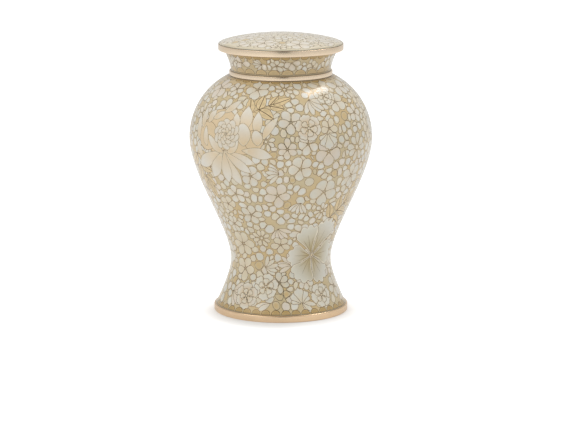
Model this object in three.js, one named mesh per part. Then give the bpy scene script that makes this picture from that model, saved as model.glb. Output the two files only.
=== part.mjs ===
// A cloisonne urn: a hollow baluster vessel of enamelled copper with a brass foot and a brass collar
// ring, closed by a lift-off lid whose low enamelled dome sits on a wide brass rim.
// Millimetres, +Z up. The origin is the centre of the underside, where the urn stands.
import * as THREE from 'three';

// Driving dimensions
const WALL = 2;                 // copper sheet with its enamel, the same all over
const JOINT_GAP = 0.3;          // hair line left where two pieces meet
const RADIAL_STEPS = 48;        // facets around the axis

const FOOT = {
  radius: 64.8,                 // outside of the brass foot
  height: 6.6,
  edgeRound: 1.3,               // rounded top edge that catches the light
  baseRound: 0.8,
  bandWidth: 6.8,               // width of the upstanding rim that carries the vessel
  floor: 3.2,                   // thickness of the flat floor that closes the vessel
};

// The vessel's outline, as radius and height where it turns
const LIP = { radius: 63.4, slopeDeg: 50, pull: 1.5 };
const FLARE = { radius: 60.1, height: 12, slopeDeg: 23.2, lipPull: 1.5, waistPull: 27 };
const WAIST = { radius: 48.5, height: 50.4, pullDown: 5.5, pullUp: 30.1 };
const BELLY = { radius: 88.1, height: 170, pullDown: 37.3, pullUp: 17 };
const SHOULDER_TOP = { radius: 50.1, height: 229.6, slopeDeg: 26, pull: 33 };
const NECK = { radius: 48.1, height: 235, pullUp: 5 };
const MOUTH = { radius: 54.5, height: 253.6, slopeDeg: 30, pull: 5 };

const COLLAR = { radius: 49.6, height: 4.2, edgeRound: 0.5 };

const LID = {
  rimRadius: 60.05,
  rimBand: 6,                   // height of the brass band
  rimBandWidth: 2.5,            // thickness of that band
  rimFlange: 2,                 // flat flange that rests on the mouth
  edgeRound: 0.6,
  spigotRadius: 48.6,           // short tube under the flange that keeps the lid centred in the neck
  spigotWall: 2,
  spigotDepth: 6,
  domeInset: 0.35,              // the dome's edge stands this far inside the band
  domeRise: 9.3,
  domeEdgePull: 2.05,
  domeCrownPull: 29,
};

// Steps along each stretch of an outline
const STEPS = { round: 2, lip: 2, flare: 4, lowerBelly: 9, shoulder: 7, neck: 4, dome: 8 };

// Finishes
const ENAMEL = { color: 0xd6c9a8, roughness: 0.22, metalness: 0 };
const BRASS = { color: 0xd9b98c, roughness: 0.34, metalness: 1 };

const point = (radius, height) => new THREE.Vector2(radius, height);

// A point pulled away from another along a slope that leans outwards by an angle from vertical
function leaning(from, distance, slopeDeg) {
  const angle = THREE.MathUtils.degToRad(slopeDeg);
  return point(from.x + distance * Math.sin(angle), from.y + distance * Math.cos(angle));
}

// Points along a curve, moved sideways to its left by an offset
function along(curve, steps, offset = 0) {
  const points = [];
  for (let step = 0; step <= steps; step += 1) {
    const here = curve.getPoint(step / steps);
    const run = curve.getTangent(step / steps);
    points.push(point(here.x - run.y * offset, here.y + run.x * offset));
  }
  return points;
}

// A quarter round between a vertical and a level face, given by its centre and start angle
function quarterRound(x, z, radius, startDeg) {
  const start = THREE.MathUtils.degToRad(startDeg);
  const arc = new THREE.EllipseCurve(x, z, radius, radius, start, start + Math.PI / 2);
  return along(arc, STEPS.round);
}

// Turns a closed outline, listed with its material on the left hand, about the urn's axis
function turned(name, outline, finish) {
  const closed = [...outline, outline[0].clone()];
  const geometry = new THREE.LatheGeometry(closed, RADIAL_STEPS);
  const mesh = new THREE.Mesh(geometry, new THREE.MeshStandardMaterial(finish));
  mesh.name = name;
  mesh.rotation.x = Math.PI / 2;
  return mesh;
}

// The outer curves of the vessel, from the lip above the foot up to the mouth
function vesselCurves() {
  const lip = point(LIP.radius, FOOT.height + JOINT_GAP);
  const flare = point(FLARE.radius, FLARE.height);
  const waist = point(WAIST.radius, WAIST.height);
  const belly = point(BELLY.radius, BELLY.height);
  const shoulderTop = point(SHOULDER_TOP.radius, SHOULDER_TOP.height);
  const neck = point(NECK.radius, NECK.height);
  const mouth = point(MOUTH.radius, MOUTH.height);
  return {
    lip: new THREE.CubicBezierCurve(
      lip, leaning(lip, LIP.pull, -LIP.slopeDeg), leaning(flare, -FLARE.lipPull, -FLARE.slopeDeg), flare),
    flare: new THREE.CubicBezierCurve(
      flare, leaning(flare, FLARE.waistPull, -FLARE.slopeDeg), leaning(waist, -WAIST.pullDown, 0), waist),
    lowerBelly: new THREE.CubicBezierCurve(
      waist, leaning(waist, WAIST.pullUp, 0), leaning(belly, -BELLY.pullDown, 0), belly),
    shoulder: new THREE.CubicBezierCurve(
      belly, leaning(belly, BELLY.pullUp, 0),
      leaning(shoulderTop, SHOULDER_TOP.pull, 90 + SHOULDER_TOP.slopeDeg), shoulderTop),
    neck: new THREE.CubicBezierCurve(
      neck, leaning(neck, NECK.pullUp, 0), leaning(mouth, -MOUTH.pull, MOUTH.slopeDeg), mouth),
  };
}

// The vessel: one enamelled shell, open at the mouth and below, where the foot's floor closes it
function makeBody() {
  const curves = vesselCurves();
  const order = ['lip', 'flare', 'lowerBelly', 'shoulder'];
  const outside = order.flatMap((part) => along(curves[part], STEPS[part]));
  const collarSeat = [point(NECK.radius, SHOULDER_TOP.height)];
  const neckOutside = along(curves.neck, STEPS.neck);
  const neckInside = along(curves.neck, STEPS.neck, WALL).reverse();
  neckInside[0].set(MOUTH.radius - WALL / Math.cos(THREE.MathUtils.degToRad(MOUTH.slopeDeg)), MOUTH.height);
  const underCollar = [point(NECK.radius - WALL, SHOULDER_TOP.height - WALL / 4)];
  const inside = order.reverse().flatMap((part) => along(curves[part], STEPS[part], WALL).reverse());
  const innerLip = inside[inside.length - 1];
  innerLip.set(LIP.radius - WALL / Math.cos(THREE.MathUtils.degToRad(LIP.slopeDeg)), FOOT.height + JOINT_GAP);
  const outline = [...outside, ...collarSeat, ...neckOutside, ...neckInside, ...underCollar, ...inside];
  return turned('body', withoutRepeats(outline), ENAMEL);
}

// Neighbouring curves share their end points, which are kept once
function withoutRepeats(points) {
  return points.filter((here, index) => index === 0 || here.distanceTo(points[index - 1]) > 0.05);
}

// The foot: a brass rim with a flat floor
function makeFoot() {
  const { radius, height, edgeRound, baseRound, bandWidth, floor } = FOOT;
  const outline = [
    point(0, 0),
    ...quarterRound(radius - baseRound, baseRound, baseRound, -90),
    ...quarterRound(radius - edgeRound, height - edgeRound, edgeRound, 0),
    point(radius - bandWidth, height),
    point(radius - bandWidth, floor),
    point(0, floor),
  ];
  return turned('foot', outline, BRASS);
}

// The collar: a brass band around the root of the neck, resting on the shoulder
function makeCollarRing() {
  const low = SHOULDER_TOP.height + JOINT_GAP;
  const inner = NECK.radius + JOINT_GAP;
  const { radius, height, edgeRound } = COLLAR;
  const outline = [
    point(inner, low),
    ...quarterRound(radius - edgeRound, low + edgeRound, edgeRound, -90),
    ...quarterRound(radius - edgeRound, low + height - edgeRound, edgeRound, 0),
    point(inner, low + height),
  ];
  return turned('collar_ring', outline, BRASS);
}

// The lid's rim: an upright band, a flange that rests on the mouth, and the spigot under it
function makeLidRim() {
  const low = MOUTH.height + JOINT_GAP;
  const top = low + LID.rimBand;
  const { rimRadius, rimBandWidth, rimFlange, edgeRound, spigotRadius, spigotWall, spigotDepth } = LID;
  const outline = [
    point(spigotRadius - spigotWall, low - spigotDepth),
    point(spigotRadius, low - spigotDepth),
    point(spigotRadius, low),
    ...quarterRound(rimRadius - edgeRound, low + edgeRound, edgeRound, -90),
    ...quarterRound(rimRadius - edgeRound, top - edgeRound, edgeRound, 0),
    point(rimRadius - rimBandWidth, top),
    point(rimRadius - rimBandWidth, low + rimFlange),
    point(spigotRadius - spigotWall, low + rimFlange),
  ];
  return turned('lid_rim', outline, BRASS);
}

// The lid's dome: a shallow enamelled cap, hollow below, standing on the rim
function makeLidDome() {
  const base = MOUTH.height + LID.rimBand + 2 * JOINT_GAP;
  const edge = point(LID.rimRadius - LID.domeInset, base);
  const crown = point(0, base + LID.domeRise);
  const curve = new THREE.CubicBezierCurve(
    edge, point(edge.x, base + LID.domeEdgePull), point(LID.domeCrownPull, crown.y), crown);
  const outside = along(curve, STEPS.dome);
  const inside = cutLevel(along(curve, STEPS.dome, WALL).reverse(), base);
  inside[0].x = 0;
  return turned('lid_dome', [...outside, ...inside], ENAMEL);
}

// Points of a falling outline above a level, ended where the outline crosses it
function cutLevel(points, level) {
  const below = points.findIndex((here) => here.y < level);
  const last = points[below - 1];
  const next = points[below];
  const crossing = last.clone().lerp(next, (last.y - level) / (last.y - next.y));
  return [...points.slice(0, below), crossing];
}

const urn = new THREE.Group();
urn.add(makeFoot(), makeBody(), makeCollarRing(), makeLidRim(), makeLidDome());

export default urn;
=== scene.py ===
"""A cloisonne urn: enamelled body and lid dome, brass foot, collar and lid rim, with a plain studio.

Inside the outline and pattern code lengths are millimetres; each finished mesh is brought to metres.
Angles round the urn are counted from the front, rising towards the right hand as it is looked at.
"""

import math
import random

import bmesh
import bpy
import numpy as np
from mathutils import Matrix, Quaternion, Vector, noise
from mathutils.geometry import delaunay_2d_cdt
from mathutils.kdtree import KDTree


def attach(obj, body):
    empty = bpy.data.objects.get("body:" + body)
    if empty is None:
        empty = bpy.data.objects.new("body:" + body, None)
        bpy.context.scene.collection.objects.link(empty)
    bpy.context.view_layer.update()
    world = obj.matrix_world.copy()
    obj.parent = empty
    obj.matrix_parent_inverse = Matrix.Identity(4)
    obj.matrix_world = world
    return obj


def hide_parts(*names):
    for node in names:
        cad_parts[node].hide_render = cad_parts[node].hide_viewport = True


bl_info = {
    "name": "Cloisonne urn",
    "version": (1, 0, 0),
    "blender": (4, 5, 0),
    "location": "3D View > Sidebar > Urn",
    "description": "Builds an enamelled urn with a brass foot, collar ring and lift-off lid",
    "category": "Object",
}

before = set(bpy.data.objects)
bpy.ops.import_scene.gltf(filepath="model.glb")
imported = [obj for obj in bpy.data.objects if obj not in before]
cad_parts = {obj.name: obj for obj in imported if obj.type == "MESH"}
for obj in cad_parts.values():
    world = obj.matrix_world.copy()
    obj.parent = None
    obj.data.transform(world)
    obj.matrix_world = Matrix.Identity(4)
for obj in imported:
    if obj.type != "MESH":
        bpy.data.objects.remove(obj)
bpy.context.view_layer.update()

# Sizes shared with the solids, in millimetres
WALL = 2.0
JOINT_GAP = 0.3
FOOT_HEIGHT = 6.6
FOOT_RADIUS = 64.8
FOOT_BAND = 6.8
FOOT_FLOOR = 3.2
LIP = (63.4, FOOT_HEIGHT + JOINT_GAP)
LIP_SLOPE = 50.0
FLARE = (60.1, 12.0)
FLARE_SLOPE = 23.2
WAIST = (48.5, 50.4)
BELLY = (88.1, 170.0)
SHOULDER_TOP = (50.1, 229.6)
SHOULDER_SLOPE = 26.0
NECK = (48.1, 235.0)
MOUTH = (54.5, 253.6)
MOUTH_SLOPE = 30.0
COLLAR_RADIUS = 49.6
COLLAR_HEIGHT = 4.2
RIM_RADIUS = 60.05
RIM_BAND = 6.0
RIM_BAND_WIDTH = 2.5
RIM_FLANGE = 2.0
SPIGOT_RADIUS = 48.6
SPIGOT_DEPTH = 6.0
DOME_RADIUS = 59.7
DOME_BASE = MOUTH[1] + RIM_BAND + 2 * JOINT_GAP
DOME_RISE = 9.3

# Steps round the urn where a turned wall meets the enamel
TURNS = 192
FINE_TURNS = 256

MILLIMETRE = 0.001

# The least length that is divided by
TINY = 1e-9

# How far cells stay from a skin's edge, and how near points are welded, in millimetres
EDGE_MARGIN = 0.3
WELD = 0.004

# Material slots of the enamelled pieces: the fields of enamel, the wires' tops, and the plain inside
FIELD, WIRE_TOP, INSIDE = 0, 1, 2

# Radii at which the body and the neck are rolled out flat, and how far apart the points of the ground lie
BODY_UNROLLED_AT = 70.0
NECK_UNROLLED_AT = 50.0
BODY_SPACING = 6.5
FINE_SPACING = 5.0

# Windows of the bake map, low corner and high corner, for each surface of the enamelled pieces
SEAT_WINDOW = (0.0, 0.0, 1.0, 0.02)
INNER_WINDOW = (0.0, 0.03, 1.0, 0.09)
NECK_WINDOW = (0.0, 0.1, 1.0, 0.16)
BODY_WINDOW = (0.0, 0.17, 1.0, 1.0)
HOLLOW_WINDOW = (0.0, 0.0, 1.0, 0.09)
DOME_WINDOW = (0.0, 0.1, 1.0, 1.0)

# The depth in millimetres at which a field's rim mask ends, and the depth given to the open ground
RIM_REACH = 4.0
GROUND_DEPTH = 3.0


def colour(red, green, blue):
    """A colour given as it looks on a screen, from 0 to 255, turned into linear light."""
    mixed = []
    for part in (red, green, blue):
        value = part / 255
        mixed.append(value / 12.92 if value <= 0.04045 else ((value + 0.055) / 1.055) ** 2.4)
    return np.array(mixed)


# Enamel colours, as the fired glaze looks before its gloss
GROUND_TAN = colour(199, 183, 149)
GROUND_OCHRE = colour(199, 175, 130)
GROUND_OLIVE = colour(188, 173, 136)
BORDER_OCHRE = colour(178, 151, 100)
LEAF_OCHRE = colour(203, 181, 139)
WARM_RIM = colour(213, 200, 174)
BLUE_WHITE = colour(211, 208, 197)
GREEN_WHITE = colour(209, 206, 192)
PINK_WHITE = colour(213, 204, 190)
CREAM = colour(211, 202, 179)
PEACH = colour(206, 180, 142)
PALE_PEACH = colour(211, 189, 153)
PETAL_WHITE = colour(214, 209, 197)
THROAT_OLIVE = colour(174, 156, 112)
PEONY_EDGE = colour(224, 215, 194)
PETAL_TINTS = (BLUE_WHITE, GREEN_WHITE, PINK_WHITE, CREAM, BLUE_WHITE, GREEN_WHITE)

# Width of the wires that part the enamel cells, in millimetres
WIRE = 0.36
FINE_WIRE = 0.28


# Outlines


def leaning(start, distance, slope):
    """A point pulled away from another along a slope that leans outwards, in degrees from upright."""
    angle = math.radians(slope)
    return (start[0] + distance * math.sin(angle), start[1] + distance * math.cos(angle))


def curve(start, first_pull, second_pull, end, steps):
    """Points along one cubic curve and its direction at each."""
    t = np.linspace(0, 1, steps + 1)[:, None]
    a, b, c, d = (np.array(p, float) for p in (start, first_pull, second_pull, end))
    points = (1 - t) ** 3 * a + 3 * (1 - t) ** 2 * t * b + 3 * (1 - t) * t * t * c + t**3 * d
    runs = (1 - t) ** 2 * (b - a) + 2 * (1 - t) * t * (c - b) + t * t * (d - c)
    return points, runs / np.hypot(runs[:, 0], runs[:, 1])[:, None]


def moved_left(points, runs, distance):
    """The outline moved sideways to its left, which is the inside of the urn on a rising outline."""
    return points + distance * np.column_stack((-runs[:, 1], runs[:, 0]))


def vessel_curves(steps):
    """The four curves of the body from the lip up to the shoulder's top, with their directions."""
    return (
        curve(LIP, leaning(LIP, 1.5, -LIP_SLOPE), leaning(FLARE, -1.5, -FLARE_SLOPE), FLARE, steps),
        curve(FLARE, leaning(FLARE, 27, -FLARE_SLOPE), leaning(WAIST, -5.5, 0), WAIST, steps),
        curve(WAIST, leaning(WAIST, 30.1, 0), leaning(BELLY, -37.3, 0), BELLY, steps),
        curve(
            BELLY,
            leaning(BELLY, 17, 0),
            leaning(SHOULDER_TOP, 33, 90 + SHOULDER_SLOPE),
            SHOULDER_TOP,
            steps,
        ),
    )


def neck_curve(steps):
    """The flaring neck above the collar, up to the mouth."""
    return curve(NECK, leaning(NECK, 5, 0), leaning(MOUTH, -5, MOUTH_SLOPE), MOUTH, steps)


def dome_curve(steps):
    """The lid's dome from its edge to its crown."""
    edge = (DOME_RADIUS, DOME_BASE)
    crown = (0.0, DOME_BASE + DOME_RISE)
    return curve(edge, (edge[0], DOME_BASE + 2.05), (29.0, crown[1]), crown, steps)


def joined(curves):
    """Curves that follow each other, as one outline without repeated points."""
    return np.vstack([points if i == 0 else points[1:] for i, (points, _) in enumerate(curves)])


# Surfaces spread out flat, where the pattern is drawn


class Skin:
    """An enamelled surface of revolution, known by its outline and the distance run along it."""

    # 1 where the outside lies to the right of the outline's direction, -1 where it lies to the left
    outside = 1.0

    def __init__(self, outline):
        self.outline = outline
        self.run = np.concatenate(([0.0], np.cumsum(np.hypot(*np.diff(outline, axis=0).T))))
        slopes = np.gradient(outline, self.run, axis=0)
        self.slopes = slopes / np.hypot(slopes[:, 0], slopes[:, 1])[:, None]

    def facing(self, points):
        """The outward directions of the surface at points on it."""
        run = self.run_at(points)
        out = self.outside * np.interp(run, self.run, self.slopes[:, 1])
        rise = -self.outside * np.interp(run, self.run, self.slopes[:, 0])
        size = np.hypot(out, rise)
        away = np.maximum(np.hypot(points[:, 0], points[:, 1]), TINY)
        return np.column_stack((points[:, :2] * (out / size / away)[:, None], rise / size))


class TurnedSkin(Skin):
    """A turned surface rolled out: across is the turn at the unrolling radius, up runs along the outline."""

    def __init__(self, outline, unrolled_at):
        super().__init__(outline)
        self.height = float(self.run[-1])
        self.unrolled_at = unrolled_at
        self.half = math.pi * unrolled_at

    def run_at(self, points):
        return np.interp(points[:, 2], self.outline[:, 1], self.run)

    def radius(self, up):
        return np.interp(up, self.run, self.outline[:, 0])

    def squeeze(self, spot):
        """How wide one flat millimetre across really is at a place."""
        return float(self.radius(spot[1])) / self.unrolled_at

    def spot(self, turn, level):
        """The flat place at an angle from the front and a height above the underside."""
        up = np.interp(level, self.outline[:, 1], self.run)
        return (math.radians(turn) * self.unrolled_at, float(up))

    def spread(self, centre, drawn):
        """Flat points for a motif drawn in true millimetres round a centre."""
        up = centre[1] + drawn[:, 1]
        return np.column_stack((centre[0] + drawn[:, 0] * self.unrolled_at / self.radius(up), up))

    def place(self, flat):
        """The points of the real surface at flat places."""
        turn = flat[:, 0] / self.unrolled_at
        radius = self.radius(flat[:, 1])
        height = np.interp(flat[:, 1], self.run, self.outline[:, 1])
        return np.column_stack((radius * np.sin(turn), -radius * np.cos(turn), height))

    def random_spots(self, chance, low, high, count):
        """Places chosen evenly over the real surface between two distances up the outline."""
        across = chance.uniform(-self.half, self.half, count)
        up = chance.uniform(low, high, count)
        kept = chance.random(count) * self.outline[:, 0].max() <= self.radius(up)
        return np.column_stack((across, up))[kept]

    def offset(self, here, there):
        """The way from one place to another in true millimetres, the short way round."""
        across = there[0] - here[0]
        across -= round(across / (2 * self.half)) * 2 * self.half
        return across * self.squeeze(here), there[1] - here[1]

    def inside(self, flat):
        return (np.abs(flat[:, 0]) < self.half) & (flat[:, 1] > 0) & (flat[:, 1] < self.height)

    def holds(self, flat):
        """Whether a cell stays clear of the upper and lower border."""
        return flat[:, 1].min() > EDGE_MARGIN and flat[:, 1].max() < self.height - EDGE_MARGIN

    def border(self):
        """The flat border as points in order, spaced so that turned walls meet it."""
        across = np.linspace(-self.half, self.half, TURNS + 1)
        sides = np.linspace(0, self.height, max(4, int(self.height / 6)) + 1)
        low = [(x, 0.0) for x in across]
        right = [(self.half, y) for y in sides[1:-1]]
        high = [(x, self.height) for x in across[::-1]]
        left = [(-self.half, y) for y in sides[-2:0:-1]]
        return low + right + high + left

    def filling(self, spacing):
        rows = int(self.height / spacing)
        columns = int(2 * self.half / spacing)
        ups = (np.arange(rows) + 0.5) * self.height / rows
        acrosses = (np.arange(columns) + 0.5) * 2 * self.half / columns - self.half
        return [(x, y) for y in ups for x in acrosses]

    def copies(self, flat):
        """The points, and again a whole turn on where they cross the back."""
        found = [flat]
        if flat[:, 0].max() > self.half:
            found.append(flat - (2 * self.half, 0))
        if flat[:, 0].min() < -self.half:
            found.append(flat + (2 * self.half, 0))
        return found


class DomeSkin(Skin):
    """A shallow dome spread out round its crown, where its outline starts."""

    outside = -1.0

    def __init__(self, outline):
        super().__init__(outline)
        self.reach = float(self.run[-1])

    def run_at(self, points):
        return np.interp(np.hypot(points[:, 0], points[:, 1]), self.outline[:, 0], self.run)

    def squeeze(self, spot):
        return 1.0

    def spread(self, centre, drawn):
        """Flat points for a motif drawn round a centre, with its up towards the crown."""
        away = math.hypot(centre[0], centre[1])
        if away < 1e-6:
            return drawn.copy()
        out = (centre[0] / away, centre[1] / away)
        across = (-out[1], out[0])
        xs = centre[0] + drawn[:, 0] * across[0] - drawn[:, 1] * out[0]
        ys = centre[1] + drawn[:, 0] * across[1] - drawn[:, 1] * out[1]
        return np.column_stack((xs, ys))

    def place(self, flat):
        """The points of the real surface at flat places."""
        away = np.hypot(flat[:, 0], flat[:, 1])
        radius = np.interp(away, self.run, self.outline[:, 0])
        height = np.interp(away, self.run, self.outline[:, 1])
        ways = flat / np.maximum(away, TINY)[:, None]
        return np.column_stack((ways[:, 0] * radius, ways[:, 1] * radius, height))

    def random_spots(self, chance, low, high, count):
        """Places chosen evenly over the dome between two distances from its crown."""
        away = np.sqrt(chance.uniform(low * low, high * high, count))
        turn = chance.uniform(-math.pi, math.pi, count)
        return np.column_stack((away * np.sin(turn), -away * np.cos(turn)))

    def offset(self, here, there):
        return there[0] - here[0], there[1] - here[1]

    def inside(self, flat):
        return np.hypot(flat[:, 0], flat[:, 1]) < self.reach

    def holds(self, flat):
        """Whether a cell stays clear of the dome's edge."""
        return np.hypot(flat[:, 0], flat[:, 1]).max() < self.reach - EDGE_MARGIN

    def border(self):
        turns = np.linspace(-math.pi, math.pi, TURNS + 1)[:-1]
        return [(self.reach * math.sin(t), -self.reach * math.cos(t)) for t in turns]

    def filling(self, spacing):
        steps = int(self.reach / spacing)
        spots = [(0.0, 0.0)]
        for ring in range(1, steps):
            away = ring * self.reach / steps
            around = max(6, int(2 * math.pi * away / spacing))
            for i in range(around):
                turn = 2 * math.pi * (i + 0.5 * (ring % 2)) / around
                spots.append((away * math.sin(turn), -away * math.cos(turn)))
        return spots

    def copies(self, flat):
        return [flat]


# Enamel cells


def closed_area(points):
    """The area of a closed shape, negative where it runs clockwise."""
    following = np.roll(points, -1, axis=0)
    return 0.5 * float(np.sum(points[:, 0] * following[:, 1] - following[:, 0] * points[:, 1]))


def gap_to(points, shape):
    """How far points lie from the nearest edge of a closed shape."""
    way = np.roll(shape, -1, axis=0) - shape
    length = np.maximum(np.sum(way * way, axis=1), 1e-12)
    apart = points[:, None, :] - shape[None]
    along = np.clip(np.sum(apart * way[None], axis=2) / length[None], 0, 1)
    gap = apart - along[:, :, None] * way[None]
    return np.sqrt(np.min(np.sum(gap * gap, axis=2), axis=1))


def within(points, shape):
    """Which points lie inside a closed shape."""
    way = np.roll(shape, -1, axis=0) - shape
    x, y = points[:, 0:1], points[:, 1:2]
    low, high = shape[None, :, 1], (shape + way)[None, :, 1]
    crosses = (low > y) != (high > y)
    rise = np.where(np.abs(way[:, 1]) < 1e-12, 1e-12, way[:, 1])
    meet = shape[None, :, 0] + (y - low) * (way[:, 0] / rise)[None]
    return np.sum(crosses & (meet > x), axis=1) % 2 == 1


def unit(ways):
    return ways / np.maximum(np.hypot(ways[:, 0], ways[:, 1]), TINY)[:, None]


def shrunk(points, distance):
    """A closed shape drawn in by a distance, with its sharp corners kept from overshooting."""
    first = unit(points - np.roll(points, 1, axis=0))
    second = unit(np.roll(points, -1, axis=0) - points)
    inward = np.column_stack((-first[:, 1] - second[:, 1], first[:, 0] + second[:, 0]))
    size = np.maximum(np.hypot(inward[:, 0], inward[:, 1]), 0.7)
    inward = inward / size[:, None]
    square_on = np.column_stack((-second[:, 1], second[:, 0]))
    half_angle = np.maximum(np.sum(inward * square_on, axis=1), 0.45)
    return points + inward * (distance / half_angle)[:, None]


class Cell:
    """One enamel cell, edged by its wire. Its enamel runs from a tint near its root to another at its tip.

    Its axis is the drawn line from root to tip, inner holds points that its mesh keeps inside, and a slim
    cell is all wire.
    """

    def __init__(
        self, skin, centre, drawn, layer, root, tip, rim, axis=((0, 0), (0, 1)), wire=WIRE, inner=(),
        slim=False,
    ):
        if closed_area(drawn) < 0:
            drawn = drawn[::-1]
        self.layer = layer
        self.slim = slim
        self.root, self.tip, self.rim = root, tip, rim
        self.squeeze = skin.squeeze(centre)
        self.outer = skin.spread(centre, drawn)
        self.enamel = skin.spread(centre, shrunk(drawn, wire))
        self.axis = skin.spread(centre, np.array(axis, float))
        self.inner = skin.spread(centre, np.array(inner, float)) if len(inner) else np.zeros((0, 2))

    def depth(self, flat):
        """How far each flat point lies from the edge of the enamel, in millimetres."""
        scale = np.array((self.squeeze, 1.0))
        return gap_to(flat * scale, self.enamel * scale)

    def tint(self, flat):
        """The enamel's colour at each flat point, from the root to the tip."""
        way = self.axis[1] - self.axis[0]
        share = np.clip((flat - self.axis[0]) @ way / max(float(way @ way), TINY), 0, 1)
        share = share * share * (3 - 2 * share)
        return self.root[None] * (1 - share[:, None]) + self.tip[None] * share[:, None]


def turned_by(points, degrees, shift=(0.0, 0.0)):
    """Drawn points turned to the left round the motif's centre, and then moved."""
    angle = math.radians(degrees)
    c, s = math.cos(angle), math.sin(angle)
    turned = np.column_stack((points[:, 0] * c - points[:, 1] * s, points[:, 0] * s + points[:, 1] * c))
    return turned + np.array(shift)


def turned_point(across, up, degrees):
    """One drawn point turned to the left round the motif's centre."""
    return tuple(turned_by(np.array(((across, up),)), degrees)[0])


def aside(half):
    """Moves to the side by half widths along an upright spine."""
    return np.column_stack((half, np.zeros_like(half)))


def spine_line(t, start, length, bend):
    """A petal's or leaf's middle line, which bends to one side."""
    return np.column_stack((-bend * t * t, start + length * t))


def petal(
    skin, centre, direction, start, length, width, layer, root, tip, rim=WARM_RIM, swell=1.0, sharp=0.5,
    blunt=0.6, bend=0.0, steps=9, shift=(0.0, 0.0), wire=WIRE,
):
    """One petal that points away from a motif's centre, direction in degrees left of up.

    It swells towards its tip, its tip and foot are more or less sharp and blunt, it may bend aside and its
    foot may be moved. Each of its sides has so many steps.
    """
    t = (1 - np.cos(np.linspace(0, math.pi, steps + 1))) / 2
    power = blunt + (sharp - blunt) * t
    half = width / 2 * np.sin(math.pi * t**swell) ** power
    half[0] = half[-1] = 0
    spine = spine_line(t, start, length, bend)
    left = spine - aside(half)
    right = spine + aside(half)
    parts = (np.vstack((right, left[-2:0:-1])), spine[[0, -1]], spine[2:-1:2])
    drawn, axis, middle = (turned_by(part, direction, shift) for part in parts)
    return Cell(skin, centre, drawn, layer, root, tip, rim, axis, wire, middle)


def vein(skin, centre, direction, start, length, layer, width, bend=0.0):
    """A single loose wire laid along a petal or leaf, which thins towards its end."""
    half = width / 2 * np.array((1.0, 1.0, 1.0, 0.9, 0.4))
    spine = spine_line(np.linspace(0, 1, 5), start, length, bend)
    drawn = turned_by(np.vstack((spine + aside(half), (spine - aside(half))[::-1])), direction)
    return Cell(skin, centre, drawn, layer, CREAM, CREAM, CREAM, slim=True)


def lobed_petal(
    skin, centre, direction, start, length, spread, lobes, layer, root, tip, rim=WARM_RIM, depth=0.08,
    shift=(0.0, 0.0),
):
    """A wide petal that opens like a fan by so many degrees and ends in rounded lobes of a given depth."""
    half = math.radians(spread) / 2
    edge = []
    for i in range(lobes * 4 + 1):
        share = i / (lobes * 4)
        angle = half * (1 - 2 * share)
        crown = 1 - 0.22 * (2 * share - 1) ** 2
        bump = abs(math.sin(math.pi * share * lobes)) ** 0.7
        reach = start + length * crown * (1 - depth + depth * bump)
        edge.append((-reach * math.sin(angle), reach * math.cos(angle)))
    waist_reach = start + length * 0.35
    root_width = start * math.sin(half) * 0.8 + 0.25
    right = [
        (root_width, start),
        (waist_reach * math.sin(half * 0.86), waist_reach * math.cos(half * 0.86)),
    ]
    left = [(-x, y) for x, y in right[::-1]]
    drawn = np.array(edge + right[::-1] + left[::-1])
    rings = []
    for share in (0.45, 0.75):
        for k in (-0.6, 0.0, 0.6):
            reach = start + length * share
            rings.append((reach * math.sin(k * half), reach * math.cos(k * half)))
    axis = np.array(((0, start), (0, start + length)))
    drawn, axis, middle = (turned_by(part, direction, shift) for part in (drawn, axis, np.array(rings)))
    return Cell(skin, centre, drawn, layer, root, tip, rim, axis, WIRE, middle)


# Motifs


def leaf(skin, centre, direction, length, width, layer, bend, shift):
    """An ochre leaf in two halves, so that its middle vein is a wire."""
    t = np.linspace(0, 1, 8)
    half = width / 2 * np.sin(math.pi * t**0.8) ** 0.8
    half[0] = half[-1] = 0
    spine = spine_line(t, 0, length, bend)
    axis = turned_by(spine[[0, -1]], direction, shift)
    tints = (LEAF_OCHRE * 0.86, LEAF_OCHRE * 1.06, LEAF_OCHRE * 1.12)
    cells = []
    for side in (-1, 1):
        drawn = turned_by(np.vstack((spine + side * aside(half), spine[-2:0:-1])), direction, shift)
        cells.append(Cell(skin, centre, drawn, layer, *tints, axis))
    return cells


def disc(skin, centre, shift, radius, layer, tint, rim=WARM_RIM, sides=8):
    """A small round cell, such as a blossom's centre."""
    turns = np.arange(sides) * 2 * math.pi / sides
    drawn = np.column_stack((np.cos(turns), np.sin(turns))) * radius + np.array(shift)
    return Cell(skin, centre, drawn, layer, tint, tint, rim)


# Rings of petals of a ruffled bloom: foot and length as shares of its size, number, spread in degrees, lobes
RUFFLES = ((0.25, 0.78, 6, 66, 3), (0.08, 0.56, 5, 64, 2))


def ruffled_bloom(skin, centre, size, layer, rng, root=CREAM):
    """A round bloom of ruffled petals in two rings."""
    cells = []
    lean = rng.uniform(0, 60)
    for ring, (start, length, count, spread, lobes) in enumerate(RUFFLES):
        for i in range(count):
            direction = lean + ring * 23 + 360 * i / count + rng.uniform(-5, 5)
            reach = length * size * rng.uniform(0.92, 1.06)
            cells.append(
                lobed_petal(
                    skin, centre, direction, start * size, reach, spread, lobes, layer + ring,
                    root, BLUE_WHITE,
                )
            )
    cells.append(disc(skin, centre, (0, 0), 0.12 * size, layer + 2, PEACH, sides=6))
    return cells


# Petals of a half-open bloom: turn from its direction, relative length, spread in degrees and lobes
SHELL_FAN = ((58, 1.0, 46, 2), (-58, 1.0, 46, 2), (34, 1.3, 44, 2), (-34, 1.3, 44, 2), (0, 1.5, 50, 3))


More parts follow.
